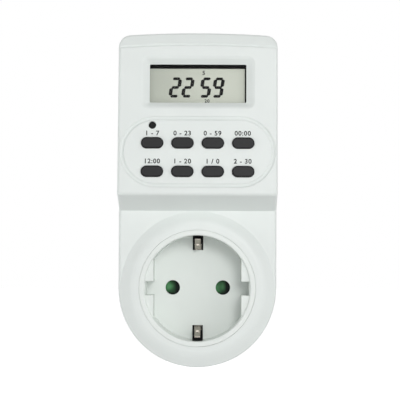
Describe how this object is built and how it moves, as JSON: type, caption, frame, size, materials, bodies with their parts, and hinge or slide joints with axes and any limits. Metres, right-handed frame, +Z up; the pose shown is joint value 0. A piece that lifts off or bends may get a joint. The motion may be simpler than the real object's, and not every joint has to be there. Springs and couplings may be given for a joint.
{
  "type": "plug-in digital timer",
  "caption": "Plug-in digital timer: a plug behind, a shuttered socket in front and, above it, a sloped face with a liquid crystal display and rubber-backed keys.",
  "frame": {"origin": "midway between the two plug pins, on the plug's engagement face", "axes": "+Y into the wall socket along the pins, +Z up along the housing, +X to the right seen from the front"},
  "size_m": [0.0582, 0.0753, 0.1229],
  "materials": {
    "housing_white": "smooth moulded, satin",
    "socket_white": "smooth moulded",
    "shutter_green": "moulded",
    "inner_plastic": "moulded",
    "zinc_steel": "zinc plated",
    "spring_steel": "drawn wire",
    "carrier_black": "moulded",
    "contact_brass": "stamped",
    "pin_nickel": "nickel plated brass",
    "earth_nickel": "nickel plated strip",
    "clear_pane": "clear pane",
    "holder_black": "moulded",
    "display_glass": "liquid crystal panel",
    "connector_rubber": "layered rubber strip",
    "mat_rubber": "moulded silicone rubber",
    "key_grey": "moulded",
    "board_green": "solder resist on laminate",
    "board_tan": "bare paper laminate",
    "resin_black": "cast resin",
    "battery_steel": "pressed steel can",
    "relay_blue": "moulded case",
    "capacitor_yellow": "moulded box",
    "resistor_ceramic": "cast cement",
    "can_sleeve": "shrunk sleeve",
    "varistor_blue": "dipped epoxy",
    "link_pins": "pin strip",
    "lead_brown": "insulated wire",
    "lead_blue": "insulated wire",
    "lead_black": "insulated wire"
  },
  "bodies": {
    "housing": {"front_housing": "housing_white", "rear_cover": "housing_white", "socket_insert": "socket_white", "shutter_retainer": "inner_plastic", "retainer_screws": "zinc_steel", "shutter_spring": "spring_steel", "contact_carrier": "carrier_black", "live_clip": "contact_brass", "neutral_clip": "contact_brass", "live_terminal": "contact_brass", "live_pin": "pin_nickel", "neutral_pin": "pin_nickel", "earth_bracket": "earth_nickel", "earth_contact_top": "earth_nickel", "earth_contact_bottom": "earth_nickel", "earth_rivets": "earth_nickel", "display_window": "clear_pane", "display_holder": "holder_black", "display_panel": "display_glass", "display_connector": "connector_rubber", "keypad_mat": "mat_rubber", "control_board": "board_green", "control_board_screws": "zinc_steel", "processor": "resin_black", "quartz_crystal": "zinc_steel", "backup_battery": "battery_steel", "power_board": "board_tan", "power_board_screws": "zinc_steel", "relay": "relay_blue", "mains_capacitor": "capacitor_yellow", "power_resistor": "resistor_ceramic", "smoothing_capacitors": "can_sleeve", "varistor": "varistor_blue", "rectifier_diodes": "resin_black", "board_link": "link_pins", "live_lead": "lead_brown", "neutral_lead": "lead_blue", "switched_lead": "lead_black", "housing_screws": "zinc_steel"},
    "key_week": {"key_week": "key_grey"},
    "key_hour": {"key_hour": "key_grey"},
    "key_minute": {"key_minute": "key_grey"},
    "key_recall": {"key_recall": "key_grey"},
    "key_clock": {"key_clock": "key_grey"},
    "key_timer": {"key_timer": "key_grey"},
    "key_mode": {"key_mode": "key_grey"},
    "key_random": {"key_random": "key_grey"},
    "reset_button": {"reset_button": "key_grey"},
    "shutter": {"shutter": "shutter_green"}
  },
  "joints": [
    {"name": "week_press", "type": "slide", "parent": "housing", "child": "key_week", "axis": [0, 0.9966, -0.0819], "range_m": [0, 0.0008], "stiffness_N_per_m": 900, "springref_m": -0.0006},
    {"name": "hour_press", "type": "slide", "parent": "housing", "child": "key_hour", "axis": [0, 0.9966, -0.0819], "range_m": [0, 0.0008], "stiffness_N_per_m": 900, "springref_m": -0.0006},
    {"name": "minute_press", "type": "slide", "parent": "housing", "child": "key_minute", "axis": [0, 0.9966, -0.0819], "range_m": [0, 0.0008], "stiffness_N_per_m": 900, "springref_m": -0.0006},
    {"name": "recall_press", "type": "slide", "parent": "housing", "child": "key_recall", "axis": [0, 0.9966, -0.0819], "range_m": [0, 0.0008], "stiffness_N_per_m": 900, "springref_m": -0.0006},
    {"name": "clock_press", "type": "slide", "parent": "housing", "child": "key_clock", "axis": [0, 0.9966, -0.0819], "range_m": [0, 0.0008], "stiffness_N_per_m": 900, "springref_m": -0.0006},
    {"name": "timer_press", "type": "slide", "parent": "housing", "child": "key_timer", "axis": [0, 0.9966, -0.0819], "range_m": [0, 0.0008], "stiffness_N_per_m": 900, "springref_m": -0.0006},
    {"name": "mode_press", "type": "slide", "parent": "housing", "child": "key_mode", "axis": [0, 0.9966, -0.0819], "range_m": [0, 0.0008], "stiffness_N_per_m": 900, "springref_m": -0.0006},
    {"name": "random_press", "type": "slide", "parent": "housing", "child": "key_random", "axis": [0, 0.9966, -0.0819], "range_m": [0, 0.0008], "stiffness_N_per_m": 900, "springref_m": -0.0006},
    {"name": "reset_press", "type": "slide", "parent": "housing", "child": "reset_button", "axis": [0, 0.9966, -0.0819], "range_m": [0, 0.0005], "stiffness_N_per_m": 900, "springref_m": -0.0006},
    {"name": "shutter_turn", "type": "hinge", "parent": "housing", "child": "shutter", "pos_m": [0, -0.02555, 0], "axis": [0, 1, 0], "range_deg": [0, 37], "stiffness_Nm_per_rad": 0.004, "springref_deg": -14.32, "deforming": ["shutter_spring"]}
  ]
}
